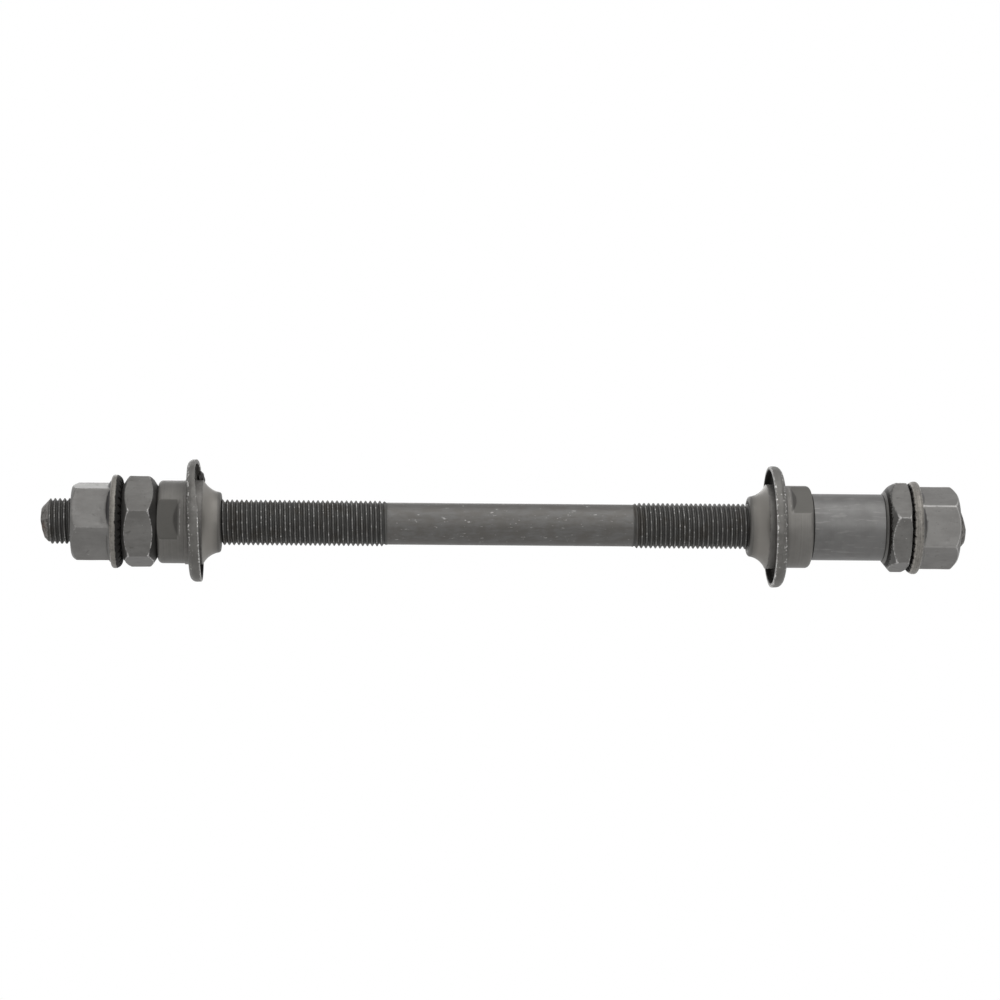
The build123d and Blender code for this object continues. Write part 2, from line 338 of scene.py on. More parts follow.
axleNutFinish = {
    "light": (0.180, 0.176, 0.169), "dark": (0.145, 0.141, 0.135), "bare": (0.42, 0.41, 0.40),
    "pit": (0.075, 0.072, 0.068), "grimeAndShade": (0.025, 0.024, 0.026), "rough": 0.36, "metal": 0.65,
}
lockNutFinish = {
    "light": (0.160, 0.156, 0.149), "dark": (0.122, 0.118, 0.112), "bare": (0.48, 0.47, 0.46),
    "pit": (0.070, 0.066, 0.060), "grimeAndShade": (0.010, 0.009, 0.008), "rough": 0.46, "metal": 0.60,
}


def turnedFinish(name, look, marks):
    # Turned and hardened pieces: fine rings, with a polished band where one is given
    steel = Surface(name)
    cloud = steel.grain(0.25, 3.0)
    fine = steel.grain(5.0, 4.0, 0.65)
    ring = steel.rings(look["ringScale"])
    share = look["ringShare"]
    base = (cloud * (1 - share) + ring * share).rise(0.34, 0.66).mixed(look["dark"], look["light"])
    ragged = steel.grain(1.5, 4.0, 0.7)
    worn = 0.0
    for inner, outer, amount in look["wornBands"]:
        # A band of radii that rubs bright
        band = steel.radius.rise(inner, inner + 0.25) * (outer - steel.radius).rise(0.0, 0.25)
        worn = band * ragged.rise(0.32, 0.60) * amount + worn
    scuff = steel.specks(1.0, 0.02, steel.stretched(1.8, 1.8, 1.8, 4.0))
    worn = (worn + scuff * look["scuff"]).smaller(1.0)
    colour = worn.mixed(base, look["bare"])
    rough = look["rough"] + cloud * 0.12 + fine * 0.08 - worn * 0.10
    for mark, paint, rougher in marks(steel):
        colour = mark.mixed(colour, paint)
        rough = rough + mark * rougher
    height = fine * 0.5 + ring * look["ringDepth"]
    return steel.finish(colour, rough, look["metal"], height, 0.012)


coneFinish = {
    "light": (0.132, 0.127, 0.119), "dark": (0.104, 0.100, 0.093), "bare": (0.42, 0.41, 0.40),
    "race": (0.196, 0.186, 0.170), "flat": (0.080, 0.077, 0.071), "shade": (0.075, 0.072, 0.067),
    "rough": 0.40, "metal": 0.70, "ringScale": 1.7, "ringDepth": 0.15, "ringShare": 0.4,
    "wornBands": ((8.60, 8.90, 0.25),), "scuff": 0.4,
}
capFinish = {
    "light": (0.136, 0.132, 0.124), "dark": (0.096, 0.092, 0.085), "bare": (0.75, 0.74, 0.72),
    "rough": 0.42, "metal": 0.70, "ringScale": 3.0, "ringDepth": 0.2, "ringShare": 0.3,
    "wornBands": ((12.40, 12.9, 0.05),), "scuff": 0.4, "hollowGreaseAndShade": (0.020, 0.018, 0.016),
}
washerFinish = {
    "light": (0.165, 0.156, 0.141), "dark": (0.105, 0.099, 0.090), "bare": (0.55, 0.52, 0.47),
    "rough": 0.38, "metal": 0.65, "ringScale": 4.0, "ringDepth": 0.3, "ringShare": 0.5,
    "wornBands": ((8.80, 9.52, 0.50), (9.3, 9.9, 0.16)), "scuff": 0.7, "grimeAndShade": (0.012, 0.011, 0.010),
}
spacerFinish = {
    "light": (0.140, 0.138, 0.135), "dark": (0.114, 0.112, 0.109), "bare": (0.42, 0.41, 0.40),
    "rough": 0.34, "metal": 0.68, "ringScale": 7.0, "ringDepth": 0.1, "ringShare": 0.15,
    "wornBands": ((6.50, 6.78, 0.30),), "scuff": 0.35, "grimeAndShade": (0.010, 0.009, 0.008),
}


# Turned sections, as (station, radius) in millimetres

def softened(points, pieces=3):
    # Rounds each corner that gives a cut, the length taken off both its sides
    out = []
    for index, (x, r, cut) in enumerate(points):
        if cut <= 0:
            out.append((x, r))
            continue
        corner = Vector((x, r))
        before = Vector(points[index - 1][:2])
        after = Vector(points[(index + 1) % len(points)][:2])
        start = corner + (before - corner).normalized() * cut
        end = corner + (after - corner).normalized() * cut
        turn = (corner - before).angle(after - corner)
        weight = math.cos(turn / 2)
        for step in range(pieces + 1):
            t = step / pieces
            parts = ((1 - t) ** 2, 2 * weight * t * (1 - t), t ** 2)
            point = (start * parts[0] + corner * parts[1] + end * parts[2]) / sum(parts)
            out.append((point.x, point.y))
    return out


def arcPoints(start, end, radius, pieces):
    # A hollow arc from start to end, bulging towards the axle
    start, end = Vector(start), Vector(end)
    chord = end - start
    away = Vector((-chord.y, chord.x)).normalized()
    centre = (start + end) / 2 + away * math.sqrt(radius ** 2 - (chord.length / 2) ** 2)
    first = (start - centre).to_3d()
    sweep = (start - centre).angle_signed(end - centre)
    out = []
    for step in range(1, pieces):
        point = centre + (Matrix.Rotation(-sweep * step / pieces, 3, "Z") @ first).to_2d()
        out.append((point.x, point.y))
    return out


def evenly(points, spacing, bore):
    # More points along the outside, and none in the bore
    out = []
    for (x, r), (nextX, nextR) in zip(points, points[1:] + points[:1]):
        length = math.hypot(nextX - x, nextR - r)
        count = 1 if max(r, nextR) <= bore + 0.01 else max(1, math.ceil(length / spacing))
        for step in range(count):
            out.append((x + (nextX - x) * step / count, r + (nextR - r) * step / count))
    return out


def turned(points, steps, height=90.0):
    # Spins a closed section about the axle, starting at a height in degrees above the front
    lift = math.radians(height)
    shape = bmesh.new()
    corners = [
        shape.verts.new((x * mm, -math.cos(lift) * r * mm, math.sin(lift) * r * mm)) for x, r in points
    ]
    for first, second in zip(corners, corners[1:] + corners[:1]):
        shape.edges.new((first, second))
    bmesh.ops.spin(
        shape, geom=list(shape.verts) + list(shape.edges), cent=(0, 0, 0), axis=(1, 0, 0),
        angle=2 * math.pi, steps=steps, use_merge=True,
    )
    bmesh.ops.remove_doubles(shape, verts=shape.verts, dist=1e-7)
    bmesh.ops.recalc_face_normals(shape, faces=shape.faces)
    return shape


def softLess(first, second, blend):
    reach = max(blend - abs(first - second), 0) / blend
    return min(first, second) - reach * reach * blend / 4


def softMore(first, second, blend):
    return -softLess(-first, -second, blend)


def hexRadius(height, corner, acrossFlats):
    fromFlat = (height - corner) % 60 - 30
    return acrossFlats / 2 / math.cos(math.radians(fromFlat))


def around(x, radius, height):
    # The point at a station, a radius and a height in degrees above the front
    lift = math.radians(height)
    return Vector((x, -math.cos(lift) * radius, math.sin(lift) * radius))


def reshaped(shape, place):
    # Moves each point by a rule on its station, radius and height, all in mm and degrees
    for vert in shape.verts:
        x, y, z = (value / mm for value in vert.co)
        radius = math.hypot(y, z)
        height = math.degrees(math.atan2(z, -y))
        newX, newRadius = place(x, radius, height)
        vert.co = around(newX, newRadius, height) * mm


def dents(point, look):
    # Hammered and knocked places: slow waves with a little grain, in mm
    wave = noise.noise(point * look["waveScale"] + Vector((look["seed"], 0, 0)))
    knock = max(noise.noise(point * look["knockScale"] + Vector((0, look["seed"], 0))) - 0.45, 0)
    return wave * look["wave"] - knock * look["knock"]


def addPiece(name, shape, material, body, nodes, sharp=38.0):
    mesh = bpy.data.meshes.new(name)
    shape.to_mesh(mesh)
    shape.free()
    for face in mesh.polygons:
        face.use_smooth = True
    mesh.set_sharp_from_angle(angle=math.radians(sharp))
    mesh.materials.append(material)
    piece = bpy.data.objects.new(name, mesh)
    bpy.context.scene.collection.objects.link(piece)
    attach(piece, body)
    if nodes:
        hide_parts(*nodes)
    return piece


def outerFace(node, inward):
    low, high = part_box(node)
    return (low[0] if inward == fromLeft else high[0]) / mm


# Axle

axleSettings = {
    "length": 190.1,
    "leftThread": 70.45,
    "rightThread": 68.65,
    "pitch": 25.4 / 26,
    "crestRadius": 4.7,
    "rootRadius": 4.18,
    "plainRadius": 4.325,
    "leftCrest": 37.87,        # mm from the left end, a crest at the top of the axle
    "rightCrest": 122.69,
    "stepsPerTurn": 40,
    "runout": 1.6,
    "leftTip": (2.7, 1.85),    # radius of the end face and length of the taper
    "rightTip": (3.3, 1.25),
    "leftSlant": 11.0,         # degrees, the lower half of the left tip
    "rightSlant": 14.0,        # and the upper half of the right one
    "rightDome": 0.05,
    "sawnReach": 1.6, "sawnDepth": 0.09,
    "overlap": 0.6,            # mm of plain rod on each threaded end
    "faceRing": 0.9, "slantRing": 0.5, "slantDrop": 0.3,
}


def threadProfile(settings):
    # One pitch from root to root: round roots and crests, flanks at 60 degrees
    pitch = settings["pitch"]
    rounding = pitch / 6
    crest, root = settings["crestRadius"], settings["rootRadius"]
    half = [(0.0, crest)]
    for turn in (30, 60):
        lean = math.radians(turn)
        half.append((rounding * math.sin(lean), crest - rounding * (1 - math.cos(lean))))
    for turn in (60, 30):
        lean = math.radians(turn)
        half.append((pitch / 2 - rounding * math.sin(lean), root + rounding * (1 - math.cos(lean))))
    half.append((pitch / 2, root))
    return [(-x, r) for x, r in reversed(half[1:])] + half


def threadedEnd(settings, crest, outerEnd, plainEnd, tip):
    # Both ends are stations in mm. The screw line runs past them and is cut off square
    pitch, steps = settings["pitch"], settings["stepsPerTurn"]
    low, high = min(outerEnd, plainEnd), max(outerEnd, plainEnd)
    first = crest - math.ceil((crest - low) / pitch + 2) * pitch
    turns = math.ceil((high - first) / pitch + 2)
    shape = bmesh.new()
    corners = [shape.verts.new(((first + x) * mm, 0, r * mm)) for x, r in threadProfile(settings)]
    for one, other in zip(corners, corners[1:]):
        shape.edges.new((one, other))
    bmesh.ops.spin(
        shape, geom=list(shape.verts) + list(shape.edges), cent=(0, 0, 0), axis=(1, 0, 0),
        angle=2 * math.pi, steps=steps, dvec=(pitch / steps * mm, 0, 0),
    )
    made = 1
    while made < turns:
        # Twice as many turns each time
        copied = bmesh.ops.duplicate(shape, geom=list(shape.verts) + list(shape.edges) + list(shape.faces))
        moved = [item for item in copied["geom"] if isinstance(item, bmesh.types.BMVert)]
        bmesh.ops.translate(shape, verts=moved, vec=(made * pitch * mm, 0, 0))
        made *= 2
    bmesh.ops.remove_doubles(shape, verts=shape.verts, dist=2e-6)
    side = 1 if plainEnd > outerEnd else -1
    for place, normal in ((low - 2 * pitch, -1), (high + 2 * pitch, 1)):
        cutShape(shape, (place, 0, 0), (normal, 0, 0))
    tipRadius, tipLength = tip
    tipSlope = (settings["crestRadius"] - tipRadius) / tipLength
    for vert in shape.verts:
        x = vert.co.x / mm
        radius = math.hypot(vert.co.y, vert.co.z) / mm
        fade = min(max((side * (x - plainEnd)) / settings["runout"] + 1, 0), 1)
        wanted = radius + (settings["plainRadius"] - radius) * fade * fade * (3 - 2 * fade)
        wanted = min(wanted, tipRadius + max(side * (x - outerEnd), -1.5) * tipSlope)
        scale = wanted / radius
        vert.co.y *= scale
        vert.co.z *= scale
    return shape


def cutShape(shape, place, normal):
    bmesh.ops.bisect_plane(
        shape, geom=list(shape.verts) + list(shape.edges) + list(shape.faces), dist=1e-8,
        plane_co=Vector(place) * mm, plane_no=normal, clear_outer=True,
    )


def openEdges(shape, low, high):
    return [
        edge for edge in shape.edges
        if edge.is_boundary and all(low * mm < vert.co.x < high * mm for vert in edge.verts)
    ]


def insetRing(shape, face, width):
    bmesh.ops.inset_region(shape, faces=face, thickness=width * mm, depth=0.0, use_even_offset=False)


def closeEnd(shape, stations, ring):
    # Fills the open end that lies between two stations, with a ring of faces inside its rim
    face = bmesh.ops.contextual_create(shape, geom=openEdges(shape, *stations))["faces"]
    insetRing(shape, face, ring)
    return face


def buildAxle(settings):
    half = settings["length"] / 2
    leftEnd = -half + settings["leftThread"] + settings["overlap"]
    rightEnd = half - settings["rightThread"] - settings["overlap"]
    nearLeft, nearRight = (-half - 3, -half + 3), (half - 3, half + 3)
    dome = settings["rightDome"]

    left = threadedEnd(settings, settings["leftCrest"] - half, -half, leftEnd, settings["leftTip"])
    cutShape(left, (leftEnd, 0, 0), (1, 0, 0))
    cutShape(left, (-half, 0, 0), (-1, 0, 0))
    closeEnd(left, nearLeft, 0.2)
    slant = math.radians(settings["leftSlant"])
    cutShape(left, (-half, 0, 0), (-math.cos(slant), 0, -math.sin(slant)))
    closeEnd(left, nearLeft, 0.2)

    right = threadedEnd(settings, settings["rightCrest"] - half, half, rightEnd, settings["rightTip"])
    cutShape(right, (rightEnd, 0, 0), (-1, 0, 0))
    cutShape(right, (half, 0, 0), (1, 0, 0))
    face = closeEnd(right, nearRight, settings["faceRing"])
    bmesh.ops.translate(right, verts=face[0].verts, vec=(dome * mm, 0, 0))
    insetRing(right, face, settings["faceRing"])
    bmesh.ops.translate(right, verts=face[0].verts, vec=(dome / 2 * mm, 0, 0))
    slant = math.radians(settings["rightSlant"])
    cutShape(right, (half, 0, -settings["slantDrop"]), (math.cos(slant), 0, math.sin(slant)))
    closeEnd(right, nearRight, settings["slantRing"])

    whole = bmesh.new()
    for end in (left, right):
        held = bpy.data.meshes.new("end")
        end.to_mesh(held)
        end.free()
        whole.from_mesh(held)
        bpy.data.meshes.remove(held)
    bmesh.ops.bridge_loops(whole, edges=openEdges(whole, leftEnd - 0.2, rightEnd + 0.2))
    bmesh.ops.triangulate(whole, faces=[face for face in whole.faces if len(face.verts) > 4])
    bmesh.ops.recalc_face_normals(whole, faces=whole.faces)
    # The left tip was left rough
    reach = settings["sawnReach"]
    for vert in whole.verts:
        depth = vert.co.x / mm + half
        if depth < reach:
            rough = noise.noise(vert.co / mm * 0.9) * settings["sawnDepth"] * (1 - depth / reach)
            vert.co.x += rough * mm
    return whole


addPiece(
    "threadedAxle", buildAxle(axleSettings), axleMaterial(axleFinish, axleSettings), "axle", ["axle"],
    sharp=50.0,
)
print("axle threaded")


# Axle nuts

boreRadius = 4.75
axleNutSettings = {
    "acrossFlats": 14.85,
    "hexLength": 8.05,
    "faceRadius": 7.15,
    "chamfer": 1.15,
    "skirtLength": 0.85,
    "skirtLip": 0.2,
    "skirtRadius": 8.45,
    "collarRadius": 5.9,
    "collarEnd": 9.85,
    "collarFlare": 0.5,
    "countersink": 0.45,
    "spacing": 0.22,
    "steps": 240,
    "edge": 0.18, "skirtEdge": 0.12, "skirtDents": 0.3,
    "waveScale": 0.35, "wave": 0.05, "knockScale": 0.9, "knock": 0.30,
    "arcTop": 5.0,             # mm above the axle, above which the bright bevel edges fade out
    # Corner and seed, then how bare its corners, bevel edges and points are, how much painted shade lies in
    # the skirt's hollow and how broken the wear
    "places": (
        ("left_axle_nut", fromLeft, 51.8, 3.1, (0.18, 0.06, 0.3), 0.8, 0.38),
        ("right_axle_nut", fromRight, 32.9, 8.4, (0.66, 0.66, 0.4), 0.45, 0.20),
    ),
}


def buildAxleNut(settings, face, inward, corner, seed):
    hexCorner = settings["acrossFlats"] / math.sqrt(3)
    length, skirt = settings["hexLength"], settings["skirtRadius"]
    flareStart = settings["collarEnd"] - settings["collarFlare"]
    outline = [
        (settings["countersink"], boreRadius, 0.0),
        (0.0, boreRadius + settings["countersink"], 0.08),
        (0.0, settings["faceRadius"], 0.25),
        (settings["chamfer"], hexCorner, 0.20),
        (length, hexCorner, 0.08),
        (length, settings["collarRadius"], 0.0),
        (flareStart, settings["collarRadius"], 0.0),
        (settings["collarEnd"], settings["collarRadius"] + settings["collarFlare"], 0.1),
        (settings["collarEnd"], boreRadius, 0.0),
    ]
    section = evenly(softened(outline), settings["spacing"], boreRadius)
    shape = turned([(face + inward * x, r) for x, r in section], settings["steps"], corner)
    look = dict(settings, seed=seed)
    skirtStart = length - settings["skirtLength"]

    def place(x, radius, height):
        depth = (x - face) * inward
        if depth > length + 0.02 or radius < settings["collarRadius"] + 0.3:
            return x, radius
        flat = hexRadius(height, corner, settings["acrossFlats"])
        wanted = softLess(radius, flat, settings["edge"])
        run = min(max((depth - skirtStart) / (length - settings["skirtLip"] - skirtStart), 0), 1)
        bell = settings["acrossFlats"] / 2 + run * (skirt - settings["acrossFlats"] / 2)
        if depth > skirtStart - 0.2:
            wanted = softMore(wanted, min(bell, radius), settings["skirtEdge"])
        dent = dents(around(x, radius, height), look) * (1 if depth < skirtStart else settings["skirtDents"])
        return x, min(wanted, radius) + dent

    reshaped(shape, place)
    return shape


for node, inward, corner, seed, wear, filmAndShade, broken in axleNutSettings["places"]:
    face = outerFace(node, inward)
    hexagon = {
        **axleNutSettings, "face": face, "inward": inward, "corner": corner,
        "outer": (axleNutSettings["faceRadius"], axleNutSettings["chamfer"]), "inner": None, "greaseAndShadeRing": None,
        "skirtStart": axleNutSettings["hexLength"] - axleNutSettings["skirtLength"],
        "wear": wear, "filmAndShade": filmAndShade, "broken": broken,
    }
    material = hexFinish(node + "_finish", axleNutFinish, hexagon)
    shape = buildAxleNut(axleNutSettings, face, inward, corner, seed)
    addPiece(node.replace("_", "."), shape, material, node, [node])
print("axle nuts done")


# Toothed washers

washerSettings = {
    "thickness": 2.2,
    "rimRadius": 9.6,
    "outerRound": 0.65,
    "innerRound": 1.45,
    "boreRadius": 6.0,
    "recess": 0.95,
    "recessFlare": 0.9,
    "teeth": 34,
    "grooveWidth": 0.95,
    "grooveDepth": 0.6,
    "toothRoot": 7.2,
    "stepsPerTooth": 8,
    "spacing": 0.2,
    # Where the black grime and painted shade begin, in mm from the outer face
    "places": (("left_washer", fromLeft, 1.1), ("right_washer", fromRight, 1.75)),
}


def buildWasher(settings, face, inward):
    thick, rim = settings["thickness"], settings["rimRadius"]
    bore = settings["boreRadius"]
    outline = [
        (0.0, bore, 0.0), (0.0, rim, settings["outerRound"]), (thick, rim, settings["innerRound"]),
        (thick, bore + settings["recessFlare"], 0.05), (thick - settings["recess"], bore, 0.0),
    ]
    section = evenly(softened(outline, 8), settings["spacing"], bore)
    steps = settings["teeth"] * settings["stepsPerTooth"]
    shape = turned([(face + inward * x, r) for x, r in section], steps, 0.0)
    toothTurn = 360 / settings["teeth"]

    def place(x, radius, height):
        depth = (x - face) * inward
        if depth < thick / 2 or radius < settings["toothRoot"] - 0.05:
            return x, radius
        fromGroove = abs((height + toothTurn / 2) % toothTurn - toothTurn / 2)
        across = math.radians(fromGroove) * radius / (settings["grooveWidth"] / 2)
        limit = thick - settings["grooveDepth"] * max(0, 1 - across)
        return face + inward * min(depth, limit), radius

    reshaped(shape, place)
    return shape


def toothGrimeAndShade(face, inward, start):
    # Painted black between the teeth and up the side that carries them, with a ragged edge: partly black grease,
    # partly painted shade in the gap against the lock nut
    def grimeAndShade(steel):
        depth = (steel.x - face) * float(inward) + steel.grain(1.5, 4.0, 0.7) * 0.8
        return [(depth.rise(start + 0.3, start + 0.55), washerFinish["grimeAndShade"], 0.25)]
    return grimeAndShade


for node, inward, grimeAndShadeStart in washerSettings["places"]:
    face = outerFace(node, inward)
    washerMaterial = turnedFinish(node + "_finish", washerFinish, toothGrimeAndShade(face, inward, grimeAndShadeStart))
    shape = buildWasher(washerSettings, face, inward)
    addPiece(node.replace("_", "."), shape, washerMaterial, node, [node], sharp=30.0)
print("washers done")


# Lock nuts

lockNutSettings = {
    "acrossFlats": 16.9,
    "spacing": 0.22,
    "steps": 240,
    "edge": 0.15,
    "waveScale": 0.35, "wave": 0.04, "knockScale": 0.9, "knock": 0.35,
    "countersink": 0.45,
    "arcTop": 2.2, "broken": 0.38,
    # Corner and thickness, then face radius and chamfer depth at the outer and the inner end, and the seed
    "places": (
        ("left_lock_nut", fromLeft, 13.6, 7.2, (7.45, 1.5), (7.2, 1.7), 5.2),
        ("right_lock_nut", fromRight, 12.5, 5.1, (8.75, 0.5), (7.0, 2.3), 2.7),
    ),
    # How bare its corners, bevel edges and points are, and the dirt and painted shade on its inner bevel, in mm
    # from its end
    "marks": {
        "left_lock_nut": {
            "wear": (0.08, 0.85, 0.9), "filmAndShade": 0.6, "filmStart": 0.0, "greaseAndShadeRing": None,
        },
        "right_lock_nut": {
            "wear": (0.45, 0.65, 0.9), "filmAndShade": 0.35, "filmStart": 0.5, "greaseAndShadeRing": (0.42, 1.02),
        },
    },
}


def buildLockNut(settings, face, inward, corner, thick, outer, inner, seed):
    hexCorner = settings["acrossFlats"] / math.sqrt(3)
    sink = settings["countersink"]
    outline = [
        (sink, boreRadius, 0.0), (0.0, boreRadius + sink, 0.08),
        (0.0, outer[0], 0.20), (outer[1], hexCorner, 0.25),
        (thick - inner[1], hexCorner, 0.25), (thick, inner[0], 0.20),
        (thick, boreRadius + sink, 0.08), (thick - sink, boreRadius, 0.0),
    ]
    section = evenly(softened(outline), settings["spacing"], boreRadius)
    shape = turned([(face + inward * x, r) for x, r in section], settings["steps"], corner)
    look = dict(settings, seed=seed)

    def place(x, radius, height):
        if radius < 6.0:
            return x, radius
        wanted = softLess(radius, hexRadius(height, corner, settings["acrossFlats"]), settings["edge"])
        return x, wanted + dents(around(x, radius, height), look)

    reshaped(shape, place)
    return shape


for node, inward, corner, thick, outer, inner, seed in lockNutSettings["places"]:
    face = outerFace(node, inward)
    hexagon = {
        **lockNutSettings, **lockNutSettings["marks"][node], "face": face, "inward": inward, "corner": corner,
        "thick": thick, "outer": outer, "inner": inner, "skirtStart": None,
    }
    material = hexFinish(node + "_finish", lockNutFinish, hexagon)
    shape = buildLockNut(lockNutSettings, face, inward, corner, thick, outer, inner, seed)
    addPiece(node.replace("_", "."), shape, material, node, [node])
print("lock nuts done")


# Bearing cones

coneSettings = {
    "length": 12.85,
    "bodyRadius": 8.5,
    "edgeRound": 0.95,
    "landRadius": 8.7,
    "landStart": 5.5,
    "landEnd": 9.1,
    "raceRadius": 4.5,
    "noseRadius": 6.25,
    "noseRound": 0.65,
    "countersinkRadius": 5.3,
    "countersinkDepth": 0.6,
    "flatDistance": 7.5,
    "flatLength": 3.3,
    "flatShoulder": 1.4,
    "flatEdge": 0.12,
    "spacing": 0.22,
    "steps": 216,
    # Height of the flats in degrees, and how light each cone is painted: lit and shaded copies of one steel
    "places": (("left_cone", fromLeft, 4.3, 1.05), ("right_cone", fromRight, 48.5, 1.24)),
}


def buildCone(settings, face, inward, flat):
    body, land, nose = settings["bodyRadius"], settings["landRadius"], settings["noseRadius"]
    length = settings["length"]
    raceEnd = (length - settings["noseRound"], nose)
    outline = softened([
        (settings["countersinkDepth"] * 0.6, boreRadius, 0.0),
        (0.0, boreRadius + 0.4, 0.06),
        (0.0, body, settings["edgeRound"]),
        (settings["landStart"] - 0.08, body, 0.0),
        (settings["landStart"], land, 0.06),
        (settings["landEnd"], land, 0.0),
    ], 6)
    outline += arcPoints((settings["landEnd"], land), raceEnd, settings["raceRadius"], 18)
    outline += softened([
        (*raceEnd, 0.0),
        (length, nose, settings["noseRound"]),
        (length, settings["countersinkRadius"], 0.05),
        (length - settings["countersinkDepth"], boreRadius, 0.0),
    ], 5)
    section = evenly(outline, settings["spacing"], boreRadius)
    shape = turned([(face + inward * x, r) for x, r in section], settings["steps"], flat)

    def place(x, radius, height):
        depth = (x - face) * inward
        end = settings["flatLength"] + settings["flatShoulder"]
        if depth > end or radius < 6.0:
            return x, radius
        lean = math.cos(math.radians(height - flat))
        wall = settings["flatDistance"] / max(abs(lean), 0.5)
        shoulder = settings["flatDistance"] + max(depth - settings["flatLength"], 0) * (
            (body - settings["flatDistance"]) / settings["flatShoulder"]
        )
        return x, softLess(radius, max(wall, shoulder), settings["flatEdge"])

    reshaped(shape, place)
    return shape


def coneMarks(look, face, inward, flat):
    # A smooth race, darker spanner flats, painted shade on the slope behind each flat, in a ragged ring where
    # the land ends and towards the nose, and a ragged painted highlight where each slope ends
    size = coneSettings

    def marks(steel):
        depth = (steel.x - face) * float(inward)
        race = depth.rise(size["landEnd"] - 0.1, size["landEnd"] + 0.3)
        race = race * (size["length"] - depth).rise(0.55, 0.85)
        across = steel.across(flat)
        onFlat = (across - size["flatDistance"]).size().rise(0.03, 0.08)
        onFlat = (1.0 - onFlat) * (size["flatLength"] + 0.9 - depth).rise(0.0, 0.05)
        slope = (size["bodyRadius"] - steel.radius).rise(0.05, 0.2)
        slope = slope * (across - size["flatDistance"]).rise(0.03, 0.07)
        slope = slope * (depth - size["flatLength"]).rise(-0.05, 0.1)
        slopeEnd = size["flatLength"] + size["flatShoulder"] - depth
        slope = slope * slopeEnd.rise(0.2, 0.6)
        ragged = steel.grain(2.4, 3.0, 0.7).rise(0.40, 0.60)
        lipHighlight = (1.0 - slopeEnd.size().rise(0.03, 0.12)) * (across - size["flatDistance"]).rise(0.25, 0.5) * ragged
        ring = 1.0 - (depth - size["landEnd"]).size().rise(0.04, 0.16)
        nose = depth.rise(size["length"] - 2.0, size["length"] - 0.6) * 0.48
        # Each with its colour and how much rougher it is
        return [
            (race, look["race"], -0.04), (onFlat, look["flat"], 0.04), (slope, look["shade"], 0.1),
            (lipHighlight * 0.5, look["bare"], 0.0), (ring * ragged * 0.5, look["shade"], 0.1),
            (nose, look["shade"], 0.06),
        ]
    return marks


for node, inward, flat, light in coneSettings["places"]:
    face = outerFace(node, inward)
    look = dict(coneFinish)
    # Each cone's colours are scaled by its light level, painted light and shade on one steel
    for shade in ("light", "dark", "flat"):
        look[shade] = tuple(value * light for value in coneFinish[shade])
    material = turnedFinish(node + "_finish", look, coneMarks(look, face, inward, flat))
    shape = buildCone(coneSettings, face, inward, flat)
    addPiece(node.replace("_", "."), shape, material, node, [node])
print("cones done")


# Dust caps

capSettings = {
    "radius": 12.55,
    "sheet": 0.85,
    "depth": 2.4,
    "bend": 1.4,
    "holeRadius": 8.73,
    "steps": 240,
    "spacing": 0.25,
    "waveScale": 0.22, "wave": 0.03, "knockScale": 0.8, "knock": 0.22,
    # Position from the cone's outer face, lean in degrees, how far it sits high, how far its edge is bent
    # back, the body that carries it and its seed
    "places": (
        ("left_dust_cap", "left_cone", fromLeft, 6.2, 1.9, 0.25, 0.70, "left_dust_cap", 4.4),
        ("right_dust_cap", "right_cone", fromRight, 5.8, 1.2, 0.0, 0.0, "right_cone", 9.3),
    ),
    "bentAt": 60.0,            # degrees above the front
    "bentReach": 62.0,
    "foldStart": 0.9,          # mm from the cap's back
    "grip": 0.3,               # mm of sheet that stays round the cone
    "hollowRadius": 11.75,
    "outside": (11.85, 12.1),
    "rimMiddle": 1.35,
    "rimLine": 2.2,
}


def buildCap(settings, back, inward, tilt, rise, bent, seed):
    rim, sheet, depth = settings["radius"], settings["sheet"], settings["depth"]
    hole, foldStart = settings["holeRadius"], settings["foldStart"]
    outline = softened([
        (0.0, hole, 0.10),
        (0.0, rim, settings["bend"]),
        (depth, rim, 0.22),
        (depth, rim - sheet, 0.15),
        (sheet, rim - sheet, settings["bend"] - sheet),
        (sheet, hole, 0.10),
    ], 6)
    section = evenly(outline, settings["spacing"], 0.0)
    shape = turned([(back + inward * x, r) for x, r in section], settings["steps"])
    look = dict(settings, seed=seed)

    def place(x, radius, height):
        loose = min(max((radius - hole - 0.5) / 2, 0), 1)
        away = min(abs(height - settings["bentAt"]) / settings["bentReach"], 1)
        fold = (1 + math.cos(math.pi * away)) / 2 * max((x - back) * inward - foldStart, 0) / (depth - foldStart)
        return x - inward * bent * fold, radius + dents(around(x, radius, height), look) * loose

    reshaped(shape, place)
    grip = (hole + settings["grip"]) * mm
    inHole = [(vert, vert.co.yz.length) for vert in shape.verts if vert.co.yz.length < grip]
    lean = Matrix.Rotation(math.radians(-tilt), 3, "Y")
    bmesh.ops.rotate(shape, verts=shape.verts, cent=(back * mm, 0, 0), matrix=lean)
    bmesh.ops.translate(shape, verts=shape.verts, vec=(0, 0, rise * mm))
    # The hole stays round the cone, however the cap sits on it
    for vert, wanted in inHole:
        vert.co.yz = vert.co.yz * (wanted / vert.co.yz.length)
    return shape


